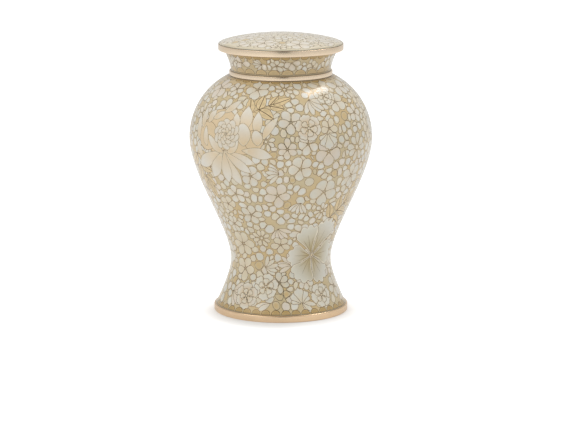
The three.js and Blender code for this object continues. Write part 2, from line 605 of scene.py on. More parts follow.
def shell_bloom(skin, centre, size, direction, layer):
    """A half-open bloom like a shell, with long petals fanned from its foot."""
    foot = turned_point(0, -0.55 * size, direction)
    return [
        lobed_petal(
            skin, centre, direction + turn, 0.1 * size, reach * size * 0.72, spread, lobes, layer + i,
            CREAM, BLUE_WHITE, shift=foot,
        )
        for i, (turn, reach, spread, lobes) in enumerate(SHELL_FAN)
    ]


# Petals of the large chrysanthemum, back ones first. Each is the place of its foot, across and up from the
# flower's middle, its direction in degrees left of up, its length and width, where it is widest, rising
# towards the tip, how sharp its tip is, and how far it bends aside
CHRYSANTHEMUM_BACK = (
    (-33, 2, 8, 21, 9, 1.0, 0.9, -3),
    (-38, -10, 15, 25, 9, 1.0, 0.8, -3),
    (-32, -26, 42, 18, 9, 1.0, 0.8, -3),
    (-25, 8, -18, 16, 9, 1.0, 1.0, -2),
    (-20, 13, -66, 17, 7, 1.0, 0.9, 2),
    (-7, 20, -52, 21, 8, 1.0, 1.0, 3),
    (39, -3, -15, 25, 9, 0.95, 1.1, -4),
    (33, 1, 11, 24, 10, 0.95, 1.0, 0),
    (11, 6, 14, 16, 8, 1.0, 0.9, 0),
    (20, 5, 5, 25, 13, 0.9, 1.0, 1),
)
CHRYSANTHEMUM_FAN = (
    (-2, -15, 247, 35, 10, 1.5, 0.9, 2),
    (-2, -15, 231, 35, 10, 1.6, 0.9, 1),
    (-3, -15, 121, 42, 14, 1.7, 0.8, -2),
    (-2, -15, 203, 39, 11, 1.6, 1.0, 0),
    (-2, -15, 149, 35, 13, 1.6, 0.9, 0),
    (-1, -14, 180, 35, 12, 1.6, 1.0, 0),
)
CHRYSANTHEMUM_FRONT = (
    (18, -14, 266, 31, 11, 1.3, 1.0, -3),
    (34, -9, 2, 15, 11, 1.0, 0.5, 3),
    (20, -10, 2, 22, 15, 1.05, 0.5, 3),
    (-24, -14, 24, 19, 8, 1.0, 0.6, -4),
    (-2, -18, 68, 25, 9, 1.1, 0.6, -6),
    (3, -18, -48, 18, 10, 1.1, 0.5, 4),
)

# Plain discs behind its petals: across, up and radius
CHRYSANTHEMUM_BED = ((-8, 2, 22), (16, 0, 19), (30, -4, 10), (-24, -4, 14))

# Rings of curled petals in its ball: number, distance of their feet from the middle, length and width
CHRYSANTHEMUM_BALL = ((10, 3.5, 11.5, 9.5), (8, 1.6, 8.6, 7), (6, 0.6, 5.6, 5))


def chrysanthemum(skin, centre, layer):
    """The large chrysanthemum: long petals behind, a fan of them below, and a ball of curled ones."""
    cells = [
        disc(skin, centre, (x, y), radius, layer - 1, PALE_PEACH, PALE_PEACH, 16)
        for x, y, radius in CHRYSANTHEMUM_BED
    ]
    groups = ((CHRYSANTHEMUM_BACK, 0.72), (CHRYSANTHEMUM_FAN, 0.6), (CHRYSANTHEMUM_FRONT, 0.6))
    for group, blunt in groups:
        for x, y, direction, length, width, swell, sharp, bend in group:
            cells.append(
                petal(
                    skin, centre, direction, 0, length, width, layer, PALE_PEACH, PETAL_WHITE, swell=swell,
                    sharp=sharp, blunt=blunt, bend=bend, shift=(x, y), steps=11, wire=FINE_WIRE,
                )
            )
            layer += 1
    for ring, (count, away, length, width) in enumerate(CHRYSANTHEMUM_BALL):
        for i in range(count):
            direction = 360 * i / count + 17 * ring
            cells.append(
                petal(
                    skin, centre, direction, away, length, width, layer, PALE_PEACH, PETAL_WHITE * 0.95,
                    swell=1.4, sharp=0.5, blunt=0.7, bend=2.2, wire=FINE_WIRE,
                )
            )
        layer += 1
    cells.append(disc(skin, centre, (0, 0), 1.3, layer, PEACH))
    return cells


# Petals of the large peony, back ones first: direction, length, spread in degrees and number of lobes
PEONY = (
    (-23, 42, 50, 5), (21, 36, 52, 4), (213, 31, 60, 4), (-86, 28, 76, 4), (87, 25, 76, 4), (151, 28, 74, 4),
)

# Veins of each of its petals: place across it, from -1 to 1, and length as a share of the petal's
PEONY_VEINS = ((-0.45, 0.5), (0.0, 0.62), (0.45, 0.5))


def peony(skin, centre, layer):
    """The large open peony: wide lobed petals that darken to an olive throat, each with its veins."""
    cells = []
    for direction, length, spread, lobes in PEONY:
        tip = (BLUE_WHITE, GREEN_WHITE)[layer % 2]
        cells.append(
            lobed_petal(
                skin, centre, direction, 1.0, length, spread, lobes, layer, THROAT_OLIVE, tip, PEONY_EDGE,
                depth=0.1,
            )
        )
        for across, share in PEONY_VEINS:
            turn = direction + across * spread / 2
            cells.append(vein(skin, centre, turn, 2.5, length * share, layer, FINE_WIRE, across * 2.5))
        layer += 1
    cells.append(disc(skin, centre, (0, 0), 1.6, layer, GROUND_OCHRE))
    return cells


# Leaves of a sprig, lowest first: foot across and up, direction in degrees left of up, length, width, bend
SPRIG = (
    (0, 0, 60, 17, 9.5, 3), (0, 1, -64, 18, 10, -3), (0.5, 9, 48, 17, 9.5, 2), (0.5, 10, -52, 18, 10, -2),
    (1, 19, 32, 14, 8, 1), (1, 20, -36, 15, 8.5, -1), (1, 23, -2, 18, 9, 0),
)


def leaf_sprig(skin, centre, lean, layer, size=1.0):
    """A sprig of ochre leaves set in pairs along a stem that leans by so many degrees left of up."""
    cells = []
    for x, y, direction, length, width, bend in SPRIG:
        foot = turned_point(x * size, y * size, lean)
        cells += leaf(skin, centre, direction + lean, length * size, width * size, layer, bend * size, foot)
        layer += 1
    cells.append(vein(skin, centre, lean, 0, 26 * size, layer, 0.5))
    return cells


# Pebble petals between the blossoms: their sides, and how closely they fill the room between neighbours
PEBBLE_SIDES = 9
PEBBLE_TIGHTNESS = 9


def pebbles(skin, seeds, blocks, layer, rng):
    """Rounded cells that share out the ground left between the blossoms' petals."""
    spots = [seed["spot"] for seed in seeds] + [spot for spot, _ in blocks]
    tree = KDTree(len(spots))
    solid = skin.place(np.array(spots))
    for i, point in enumerate(solid):
        tree.insert(Vector(point), i)
    tree.balance()
    cells = []
    for i, seed in enumerate(seeds):
        turns = np.arange(PEBBLE_SIDES) * 2 * math.pi / PEBBLE_SIDES + rng.random()
        total = np.full(PEBBLE_SIDES, (1 / seed["widest"]) ** PEBBLE_TIGHTNESS)
        for _, j, _ in tree.find_n(Vector(solid[i]), 20):
            if j == i:
                continue
            across, up = skin.offset(seed["spot"], spots[j])
            apart = math.hypot(across, up)
            if apart < 0.5:
                continue
            if j < len(seeds):
                reach = apart / 2
            else:
                reach = apart - blocks[j - len(seeds)][1] + 0.75
            facing = np.cos(turns - math.atan2(up, across))
            total += (np.maximum(facing, 0) / max(0.5, reach - 0.04)) ** PEBBLE_TIGHTNESS
        radii = total ** (-1 / PEBBLE_TIGHTNESS)
        if radii.mean() < 0.9:
            continue
        drawn = np.column_stack((np.cos(turns), np.sin(turns))) * radii[:, None]
        cell = Cell(
            skin, seed["spot"], drawn, layer, seed["root"], seed["tip"], seed["rim"], inner=((0.0, 0.0),)
        )
        if skin.holds(cell.outer):
            cells.append(cell)
    return cells


class Crowd:
    """Places already taken on the real surface, kept in boxes so that near ones are found quickly."""

    def __init__(self, box):
        self.box = box
        self.taken = {}

    def home(self, point):
        return tuple(int(math.floor(c / self.box)) for c in point)

    def add(self, point, reach):
        self.taken.setdefault(self.home(point), []).append((*point, reach))

    def free(self, point, reach):
        """Whether nothing lies nearer than the two reaches together."""
        x, y, z = self.home(point)
        for i in (x - 1, x, x + 1):
            for j in (y - 1, y, y + 1):
                for k in (z - 1, z, z + 1):
                    for a, b, c, other in self.taken.get((i, j, k), ()):
                        apart = (point[0] - a) ** 2 + (point[1] - b) ** 2 + (point[2] - c) ** 2
                        if apart < (reach + other) ** 2:
                            return False
        return True


# Kinds of small blossom: how many petals, their foot, length and width as shares of the blossom's reach,
# where they are widest, and how far round the blossom spreads in degrees
BLOSSOM_KINDS = (
    (5, 0.06, 0.94, 0.88, 1.35, 360),
    (5, 0.06, 0.94, 0.76, 1.2, 360),
    (6, 0.06, 0.94, 0.68, 1.3, 360),
    (8, 0.18, 0.82, 0.52, 1.3, 360),
    (5, 0.0, 1.3, 0.48, 1.2, 120),
)


def scattered_blossoms(skin, low, high, size, layer, rng, heroes, tints):
    """Small blossoms strewn over the ground, with pebble petals filling between them."""
    chance = np.random.default_rng(rng.randrange(100000))
    hidden = covering(skin, heroes)
    cells = []
    blocks = []
    crowd = Crowd(size * 2.5)
    spots = skin.random_spots(chance, low, high, 6000)
    for spot, point, away in zip(spots, skin.place(spots), hidden(spots)):
        reach = size * rng.uniform(0.72, 1.15)
        if away < -0.3 * reach or not crowd.free(point, reach * 0.88):
            continue
        crowd.add(point, reach * 0.88)
        upper = layer + 1 + len(blocks) % 7
        petals, held = small_blossom(skin, tuple(spot), reach, upper, rng, rng.choice(tints))
        cells += petals
        blocks += held
    depths = hidden(np.array([cell.axis.mean(axis=0) for cell in cells]))
    cells = [cell for cell, away in zip(cells, depths) if away > -3.5 and skin.holds(cell.outer)]
    covered = covering(skin, list(heroes) + cells)
    near = Crowd(size)
    seeds = []
    spots = skin.random_spots(chance, low - 1, high + 1, 30000)
    for spot, point, away in zip(spots, skin.place(spots), covered(spots)):
        if away < 0.7 or not near.free(point, size * rng.uniform(0.4, 0.52)):
            continue
        near.add(point, 0.0)
        if rng.random() > 0.1:
            seeds.append(filler_seed(tuple(spot), rng, rng.choice(tints)))
    return pebbles(skin, seeds, blocks, layer, rng) + cells


def small_blossom(skin, spot, reach, layer, rng, tint):
    """One small blossom or a spray of long petals, and the places its petals take up."""
    count, foot, length, width, swell, spread = rng.choice(BLOSSOM_KINDS)
    lean = rng.uniform(0, 360)
    shade = rng.uniform(0.95, 1.04)
    cells = []
    blocks = []
    for i in range(count):
        direction = lean + spread * i / count + rng.uniform(-6, 6)
        long = length * reach * rng.uniform(0.9, 1.08)
        wide = width * reach * rng.uniform(0.9, 1.06)
        cells.append(
            petal(
                skin, spot, direction, foot * reach, long, wide, layer, tint * 0.6 + PEACH * 0.4,
                tint * shade, WARM_RIM * shade, swell=swell, sharp=0.45, blunt=0.8,
                bend=rng.uniform(-1.2, 1.2), steps=6,
            )
        )
        for share, part in ((0.3, 0.36), (0.58, 0.5), (0.85, 0.36)):
            place = turned_by(np.array(((0.0, foot * reach + share * long),)), direction)
            blocks.append((tuple(skin.spread(spot, place)[0]), part * wide))
    if spread == 360:
        cells.append(disc(skin, spot, (0, 0), (foot + 0.02) * reach, layer, PEACH, sides=7))
    return cells, blocks


def filler_seed(spot, rng, tint):
    """A single pebble petal between blossoms, now and then of ochre."""
    seed = dict(spot=spot, widest=rng.uniform(4.2, 6.2))
    if rng.random() < 0.14:
        seed.update(root=GROUND_OCHRE, tip=GROUND_OCHRE, rim=GROUND_TAN)
    else:
        shade = tint * rng.uniform(0.93, 1.04)
        seed.update(root=shade, tip=shade, rim=WARM_RIM)
    return seed


def covering(skin, heroes):
    """A test of how far flat places lie outside the large motifs, negative where one hides them."""
    shapes = [outer for cell in heroes for outer in skin.copies(cell.outer)]

    def outside_by(spots):
        best = np.full(len(spots), 1e3)
        for shape in shapes:
            low, high = shape.min(axis=0) - 6, shape.max(axis=0) + 6
            near = np.where(np.all((spots > low) & (spots < high), axis=1))[0]
            if len(near):
                gap = gap_to(spots[near], shape)
                inside = within(spots[near], shape)
                best[near] = np.minimum(best[near], np.where(inside, -gap, gap))
        return best

    return outside_by


# Width of the wires of the border scales, in millimetres
BORDER_WIRE = 0.46


def scallops(skin, count, low, height, layer, hanging, fill):
    """A row of round-ended scales round a turned surface, standing on a line or hanging from it."""
    cells = []
    width = 2 * skin.half / count
    for i in range(count):
        centre = (-skin.half + (i + 0.5) * width, low)
        wide = width * skin.squeeze(centre) * 0.94
        turns = np.linspace(0, math.pi, 9)
        drawn = np.column_stack((np.cos(turns) * wide / 2, np.sin(turns) * height))
        if hanging:
            drawn[:, 1] *= -1
        end = (0.0, -height if hanging else height)
        middle = (0.0, 0.5 * end[1])
        axis = ((0, 0), end)
        tints = (fill * 0.92, fill, fill * 1.12)
        cells.append(Cell(skin, centre, drawn, layer, *tints, axis, BORDER_WIRE, (middle,)))
    return cells


# Building one skin from its cells


def partition(skin, cells, spacing):
    """Cuts the flat surface along every cell's two edges and says what owns each triangle.

    Gives the flat points, and for each triangle its points, whether it is wire, and the cell and its move
    across the back where it is enamel.
    """
    spots = []
    edges = []
    shapes = []
    for index, cell in enumerate(cells):
        for outer in skin.copies(cell.outer):
            move = outer[0] - cell.outer[0]
            both = ((0, outer),) if cell.slim else ((0, outer), (1, cell.enamel + move))
            for part, points in both:
                start = len(spots)
                count = len(points)
                spots.extend(map(tuple, points))
                edges.extend((start + i, start + (i + 1) % count) for i in range(count))
                shapes.append((cell.layer, index, part, tuple(move), points))
            spots.extend(map(tuple, cell.inner + move))
    crowd = KDTree(max(1, len(spots)))
    for i, (x, y) in enumerate(spots):
        crowd.insert((x, y, 0), i)
    crowd.balance()
    first = len(spots)
    border = skin.border()
    spots.extend(border)
    edges.extend((first + i, first + (i + 1) % len(border)) for i in range(len(border)))
    for x, y in skin.filling(spacing):
        if not cells or crowd.find((x, y, 0))[2] > spacing * 0.35:
            spots.append((x, y))
    vertices, _, triangles, _, _, _ = delaunay_2d_cdt([Vector(s) for s in spots], edges, [], 0, 1e-6, False)
    flat = np.array([(v.x, v.y) for v in vertices])
    corners = np.array(triangles)
    middles = flat[corners].mean(axis=1)
    kept = skin.inside(middles)
    corners, middles = corners[kept], middles[kept]
    order = np.argsort(middles[:, 1])
    corners, middles = corners[order].tolist(), middles[order]
    owner = np.full(len(corners), -1)
    shapes.sort(key=lambda shape: shape[:3])
    for number, (_, _, _, _, points) in enumerate(shapes):
        low, high = np.searchsorted(middles[:, 1], (points[:, 1].min(), points[:, 1].max()))
        across = middles[low:high, 0]
        near = low + np.where((across > points[:, 0].min()) & (across < points[:, 0].max()))[0]
        if len(near):
            owner[near[within(middles[near], points)]] = number
    chosen = []
    for triangle, number in zip(corners, owner):
        wire, key = False, None
        if number >= 0:
            _, index, part, move, _ = shapes[number]
            wire = part == 0
            key = None if wire else (index, move)
        chosen.append((triangle, wire, key))
    return flat, chosen


def ground_tint(points, pale):
    """The ground's colour, drifting slowly between tan, ochre and olive over the surface."""
    tints = np.zeros((len(points), 3))
    for i, p in enumerate(points):
        drift = noise.noise(Vector(p) / 26.0)
        patch = noise.noise(Vector(p) / 9.0 + Vector((31.0, 7.0, 3.0)))
        warm = min(max(0.5 + 1.1 * drift + 0.7 * patch, 0.0), 1.0)
        green = min(max(0.5 - 1.3 * drift, 0.0), 1.0) * 0.35
        base = GROUND_TAN * (1 - warm) + GROUND_OCHRE * warm
        tints[i] = base * (1 - green) + GROUND_OLIVE * green
    return tints * (1 - pale) + CREAM * pale


def add_skin(mesh, skin, cells, spacing, layers, window, pale=0.0):
    """Adds a skin's triangles to a mesh, with the colours of its cells and its place in the bake map."""
    flat, chosen = partition(skin, cells, spacing)
    points = skin.place(flat)
    used = sorted({i for triangle, _, _ in chosen for i in triangle})
    vertex = {i: mesh.verts.new(points[i]) for i in used}
    ground = dict(zip(used, ground_tint(points[used], pale)))
    low, high = flat[used].min(axis=0), flat[used].max(axis=0)
    bake = np.array(window[:2]) + (flat - low) / (high - low) * np.subtract(window[2:], window[:2])
    groups = {}
    for triangle, _, key in chosen:
        groups.setdefault(key, set()).update(triangle)
    groups.pop(None, None)
    painted = {}
    for key, members in groups.items():
        cell = cells[key[0]]
        order = sorted(members)
        spots = flat[order] - np.array(key[1])
        painted[key] = dict(zip(order, zip(cell.depth(spots), cell.tint(spots))))
    for triangle, wire, key in chosen:
        face = mesh.faces.new([vertex[i] for i in triangle])
        face.smooth = True
        face.material_index = WIRE_TOP if wire else FIELD
        for loop, i in zip(face.loops, triangle):
            if key is None:
                depth, tint, rim = GROUND_DEPTH, ground[i], ground[i]
            else:
                depth, tint = painted[key][i]
                rim = cells[key[0]].rim
            loop[layers["map"]].uv = bake[i]
            loop[layers["glaze"]] = (*tint, 1.0)
            loop[layers["rim"]] = (*rim, min(depth / RIM_REACH, 1.0))


def turn_outline(mesh, outline, closed, steps):
    """Turns an outline round the axis, starting from the back."""
    points = [mesh.verts.new((0.0, r, z)) for r, z in outline]
    pairs = list(zip(points, points[1:]))
    if closed:
        pairs.append((points[-1], points[0]))
    edges = [mesh.edges.new(pair) for pair in pairs]
    bmesh.ops.spin(
        mesh, geom=points + edges, cent=(0, 0, 0), axis=(0, 0, 1), dvec=(0, 0, 0),
        angle=2 * math.pi, steps=steps, use_merge=True, use_normal_flip=False, use_duplicate=False,
    )


def add_wall(mesh, outline, layers, window):
    """Adds a plain wall round the whole urn from its open outline, with its place in the bake map."""
    before = set(mesh.faces)
    turn_outline(mesh, outline, False, TURNS)
    radii, heights = np.array(outline, float).T
    lengths = np.concatenate(([0], np.cumsum(np.hypot(np.diff(radii), np.diff(heights)))))
    for face in set(mesh.faces) - before:
        face.smooth = True
        face.material_index = INSIDE
        centre = face.calc_center_median()
        middle = math.atan2(centre.x, -centre.y)
        for loop in face.loops:
            co = loop.vert.co
            turn = math.atan2(co.x, -co.y) if math.hypot(co.x, co.y) > 1e-6 else middle
            turn += round((middle - turn) / (2 * math.pi)) * 2 * math.pi
            apart = np.hypot(radii - math.hypot(co.x, co.y), heights - co.z)
            share = lengths[int(apart.argmin())] / lengths[-1]
            u = window[0] + (window[2] - window[0]) * (turn / (2 * math.pi) + 0.5)
            v = window[1] + (window[3] - window[1]) * share
            loop[layers["map"]].uv = (u, v)
            loop[layers["glaze"]] = (*GROUND_OCHRE, 1.0)
            loop[layers["rim"]] = (*GROUND_OCHRE, GROUND_DEPTH / RIM_REACH)


def enamel_layers(mesh):
    """The bake map and the two painted colours that the enamel's finish reads."""
    return {
        "map": mesh.loops.layers.uv.new("OFBake"),
        "glaze": mesh.loops.layers.float_color.new("glaze"),
        "rim": mesh.loops.layers.float_color.new("rim"),
    }


def linked_object(name, mesh, materials):
    """Puts a mesh in the scene as an object with its materials."""
    data = bpy.data.meshes.new(name)
    mesh.to_mesh(data)
    mesh.free()
    for material in materials:
        data.materials.append(material)
    made = bpy.data.objects.new(name, data)
    bpy.context.scene.collection.objects.link(made)
    return made


def finished(name, mesh, materials, nodes, faces_out=None, sharp=40.0):
    """Closes a mesh, brings it to metres and stands it in for its solid."""
    bmesh.ops.remove_doubles(mesh, verts=mesh.verts, dist=WELD)
    bmesh.ops.dissolve_degenerate(mesh, dist=WELD, edges=mesh.edges)
    bmesh.ops.recalc_face_normals(mesh, faces=mesh.faces)
    if mesh.calc_volume(signed=True) < 0:
        bmesh.ops.reverse_faces(mesh, faces=mesh.faces)
    for edge in mesh.edges:
        edge.smooth = edge.is_manifold and edge.calc_face_angle(0) < math.radians(sharp)
    bmesh.ops.scale(mesh, vec=(MILLIMETRE,) * 3, verts=mesh.verts)
    piece = linked_object(name, mesh, materials)
    if faces_out is not None:
        smooth_facing(piece.data, faces_out)
    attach(piece, "root")
    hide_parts(*nodes)


def values_of(items, name, kind, width=1):
    """One named value of every item in a mesh, or a row of them."""
    found = np.zeros(len(items) * width, kind)
    items.foreach_get(name, found)
    return found.reshape(-1, width) if width > 1 else found


def smooth_facing(data, faces_out):
    """Gives the enamel the true direction of the turned surface, so that its gloss has no facets."""
    corners = values_of(data.corner_normals, "vector", np.float32, 3)
    vertex_of = values_of(data.loops, "vertex_index", np.int32)
    places = values_of(data.vertices, "co", np.float32, 3) / MILLIMETRE
    sizes = values_of(data.polygons, "loop_total", np.int32)
    kinds = values_of(data.polygons, "material_index", np.int32)
    outer = np.repeat(kinds != INSIDE, sizes)
    corners[outer] = faces_out(places)[vertex_of[outer]]
    data.normals_split_custom_set(corners.tolist())


# Materials


def set_inputs(node, values):
    for name, value in dict(values).items():
        node.inputs[name].default_value = value


def link(node, sockets):
    """Links sockets to a node's inputs."""
    for name, socket in dict(sockets).items():
        node.id_data.links.new(socket, node.inputs[name])


def new_node(tree, kind, place, settings=(), values=(), sockets=()):
    """A node with its settings, the values of its inputs and the sockets linked to them."""
    made = tree.nodes.new(kind)
    made.location = place
    for name, value in dict(settings).items():
        setattr(made, name, value)
    set_inputs(made, values)
    link(made, sockets)
    return made


def new_group(name, inputs):
    """A shader node group for a colour, a roughness and a height, with its own inputs and its end node."""
    group = bpy.data.node_groups.new(name, "ShaderNodeTree")
    for label, kind, value in (("Place", "NodeSocketVector", None), *inputs):
        socket = group.interface.new_socket(name=label, in_out="INPUT", socket_type=kind)
        if value is not None:
            socket.default_value = value
    for label, kind in (("Color", "Color"), ("Roughness", "Float"), ("Height", "Float")):
        group.interface.new_socket(name=label, in_out="OUTPUT", socket_type="NodeSocket" + kind)
    start = new_node(group, "NodeGroupInput", (-1100, 0))
    end = new_node(group, "NodeGroupOutput", (700, 0))
    return group, start.outputs, end


def noise_node(tree, place, values, sockets=()):
    """A noise texture's grey level."""
    return new_node(tree, "ShaderNodeTexNoise", place, {}, values, sockets).outputs["Fac"]


def range_node(tree, place, value, limits, kind="LINEAR"):
    """A value brought between other limits."""
    settings = {"interpolation_type": kind}
    made = new_node(tree, "ShaderNodeMapRange", place, settings, limits, {"Value": value})
    return made.outputs["Result"]


def math_node(tree, place, operation, *terms):
    """A calculation in the shader, whose terms are numbers or sockets."""
    made = new_node(tree, "ShaderNodeMath", place, {"operation": operation})
    for i, term in enumerate(terms):
        if isinstance(term, float):
            set_inputs(made, {i: term})
        else:
            link(made, {i: term})
    return made.outputs[0]


def fired_glaze_group():
    """Fired enamel: a cell's own tint in a paler edge, mottled, with a faint hollow between the wires."""
    group, given, end = new_group(
        "fired glaze",
        (
            ("Glaze", "NodeSocketColor", (0.6, 0.6, 0.5, 1)),
            ("Rim", "NodeSocketColor", (0.8, 0.7, 0.5, 1)),
            ("Depth", "NodeSocketFloat", 1.0),
            ("Rim Width", "NodeSocketFloat", 0.3),
            ("Mottle", "NodeSocketFloat", 0.12),
            ("Mottle Size", "NodeSocketFloat", 420.0),
        ),
    )
    edge = new_node(
        group, "ShaderNodeMapRange", (-800, 200), {"interpolation_type": "SMOOTHSTEP"}, {},
        {"Value": given["Depth"], "From Max": given["Rim Width"]},
    ).outputs["Result"]
    blend = new_node(
        group, "ShaderNodeMix", (-500, 200), {"data_type": "RGBA"}, {},
        {"Factor": edge, 6: given["Rim"], 7: given["Glaze"]},
    )
    speckled = {"Vector": given["Place"], "Scale": given["Mottle Size"]}
    mottle = noise_node(group, (-800, -100), {"Detail": 4.0, "Roughness": 0.6}, speckled)
    cloud = noise_node(group, (-800, -380), {"Scale": 60.0, "Detail": 2.0}, {"Vector": given["Place"]})
    centred = math_node(group, (-600, -100), "SUBTRACT", mottle, 0.5)
    amount = math_node(group, (-420, -100), "MULTIPLY_ADD", centred, given["Mottle"], 1.0)
    drift = range_node(group, (-600, -380), cloud, {"To Min": 0.94, "To Max": 1.06})
    strength = math_node(group, (-240, -200), "MULTIPLY", amount, drift)
    shaded = new_node(
        group, "ShaderNodeVectorMath", (0, 100), {"operation": "SCALE"}, {},
        {0: blend.outputs[2], "Scale": strength},
    )
    rough = range_node(group, (-240, -420), mottle, {"To Min": 0.16, "To Max": 0.3})
    link(end, {"Color": shaded.outputs[0], "Roughness": rough, "Height": edge})
    return group


def turned_metal_group():
    """Metal turned on a lathe: fine rings of tool marks and slow patches of tone."""
    group, given, end = new_group(
        "turned metal",
        (
            ("Metal", "NodeSocketColor", (0.8, 0.6, 0.4, 1)),
            ("Tarnish", "NodeSocketColor", (0.7, 0.5, 0.3, 1)),
            ("Roughness", "NodeSocketFloat", 0.3),
        ),
    )
    split = new_node(group, "ShaderNodeSeparateXYZ", (-900, 0), {}, {}, {0: given["Place"]}).outputs
    flat = new_node(group, "ShaderNodeCombineXYZ", (-720, 120), {}, {}, {"X": split["X"], "Y": split["Y"]})
    away = new_node(
        group, "ShaderNodeVectorMath", (-540, 120), {"operation": "LENGTH"}, {}, {0: flat.outputs[0]}
    ).outputs["Value"]
    section = new_node(group, "ShaderNodeCombineXYZ", (-360, 60), {}, {}, {"X": away, "Z": split["Z"]})
    marks = noise_node(group, (-180, 60), {"Scale": 2600.0, "Detail": 3.0}, {"Vector": section.outputs[0]})
    patches = noise_node(group, (-540, -220), {"Scale": 38.0, "Detail": 4.0}, {"Vector": given["Place"]})
    share = range_node(group, (-360, -220), patches, {"From Min": 0.35, "From Max": 0.75})
    blend = new_node(
        group, "ShaderNodeMix", (-100, -160), {"data_type": "RGBA"}, {},
        {"Factor": share, 6: given["Metal"], 7: given["Tarnish"]},
    )
    spread = range_node(group, (60, 60), marks, {"To Min": -0.06, "To Max": 0.06})
    rough = math_node(group, (240, 60), "ADD", spread, given["Roughness"])
    link(end, {"Color": blend.outputs[2], "Roughness": rough, "Height": marks})
    return group


def new_material(name):
    """A material, its tree and its main shader."""
    material = bpy.data.materials.new(name)
    material.use_nodes = True
    return material, material.node_tree, material.node_tree.nodes["Principled BSDF"]


def opaque(tone, share=1.0):
    """A colour for a socket, darkened to a share of itself."""
    return tuple(share * part for part in tone) + (1.0,)


def finish_with_group(tree, group, values, bump, strength):
    """Puts a finish group in a material and joins it to the shader's colour, roughness and relief."""
    place = new_node(tree, "ShaderNodeTexCoord", (-900, 0))
    finish = new_node(
        tree, "ShaderNodeGroup", (-500, 0), {"node_tree": group}, values, {"Place": place.outputs["Object"]}
    )
    relief = new_node(
        tree, "ShaderNodeBump", (-200, -300), {}, {"Strength": strength, "Distance": bump},
        {"Height": finish.outputs["Height"]},
    )
    link(
        tree.nodes["Principled BSDF"],
        {
            "Base Color": finish.outputs["Color"],
            "Roughness": finish.outputs["Roughness"],
            "Normal": relief.outputs["Normal"],
        },
    )
    return finish


def enamel_material(finishes):
    """The polished enamel between the wires."""
    material, tree, shader = new_material("fired_enamel")
    finish = finish_with_group(tree, shared_group("fired glaze"), {}, 0.00004, 0.35)
    glaze = new_node(tree, "ShaderNodeAttribute", (-900, -250), {"attribute_name": "glaze"})
    rim = new_node(tree, "ShaderNodeAttribute", (-900, -450), {"attribute_name": "rim"})
    link(
        finish,
        {"Glaze": glaze.outputs["Color"], "Rim": rim.outputs["Color"], "Depth": rim.outputs["Alpha"]},
    )
    set_inputs(shader, {"Specular IOR Level": 0.3, "Coat Weight": finishes.polish, "Coat Roughness": 0.17})
    return material


def inner_glaze_material():
    """The plain counter enamel inside the urn and under its dome."""
    material, tree, shader = new_material("counter_enamel")
    tone = opaque(colour(150, 134, 104))
    values = {"Glaze": tone, "Rim": tone, "Mottle": 0.3, "Mottle Size": 260.0}
    finish_with_group(tree, shared_group("fired glaze"), values, 0.0001, 0.3)
    set_inputs(shader, {"Coat Weight": 0.2})
    return material


def metal_material(name, tone, tarnish, roughness, relief):
    """A bare metal that tarnishes to a share of its tone."""
    material, tree, shader = new_material(name)
    values = {"Metal": opaque(tone), "Tarnish": opaque(tone, tarnish), "Roughness": roughness}
    finish_with_group(tree, shared_group("turned metal"), values, 0.00001, relief)
    set_inputs(shader, {"Metallic": 1.0})
    return material


def wire_material(finishes):
    """The wires' polished upper edges."""
    return metal_material("cell_wire", finishes.wire_colour, 0.8, 0.2, 0.05)


def brass_material(name, tone, roughness):
    """The satin brass of the foot, the collar ring and the lid's rim."""
    return metal_material(name, tone, 0.93, roughness, 0.12)


def shared_group(name):
    makers = {"fired glaze": fired_glaze_group, "turned metal": turned_metal_group}
    return bpy.data.node_groups.get(name) or makers[name]()


def shared_material(name, maker, *details):
    return bpy.data.materials.get(name) or maker(*details)


def enamel_finishes(finishes):
    """The materials of the enamelled pieces, in the order of their slots."""
    return (
        shared_material("fired_enamel", enamel_material, finishes),
        shared_material("cell_wire", wire_material, finishes),
        shared_material("counter_enamel", inner_glaze_material),
    )


# Brass pieces


def round_edge(mesh, radius, level, size, segments):
    """Rounds the circular edge that lies at a radius and a height."""

    def on_ring(vertex):
        place = vertex.co
        return abs(math.hypot(place.x, place.y) - radius) < 0.01 and abs(place.z - level) < 0.01

    ring = [edge for edge in mesh.edges if all(map(on_ring, edge.verts))]
    bmesh.ops.bevel(
        mesh, geom=ring, offset=size, offset_type="OFFSET", affect="EDGES", segments=segments,
        profile=0.5, material=-1,
    )


def brass_piece(name, outline, rounds, nodes, settings, finish, tone):
    """Turns an outline into a brass ring, or a plate where it starts at the axis, and rounds its edges."""
    mesh = bmesh.new()
    turn_outline(mesh, outline, outline[0][0] > 0.0, FINE_TURNS)
    bmesh.ops.remove_doubles(mesh, verts=mesh.verts, dist=0.002)
    bmesh.ops.recalc_face_normals(mesh, faces=mesh.faces)
    for round_place in rounds:
        round_edge(mesh, *round_place)
    for face in mesh.faces:
        face.smooth = True
    brass = shared_material(finish, brass_material, finish, tone, settings.brass_roughness)
    finished(name, mesh, (brass,), nodes, sharp=35.0)


# The urn's painted surfaces


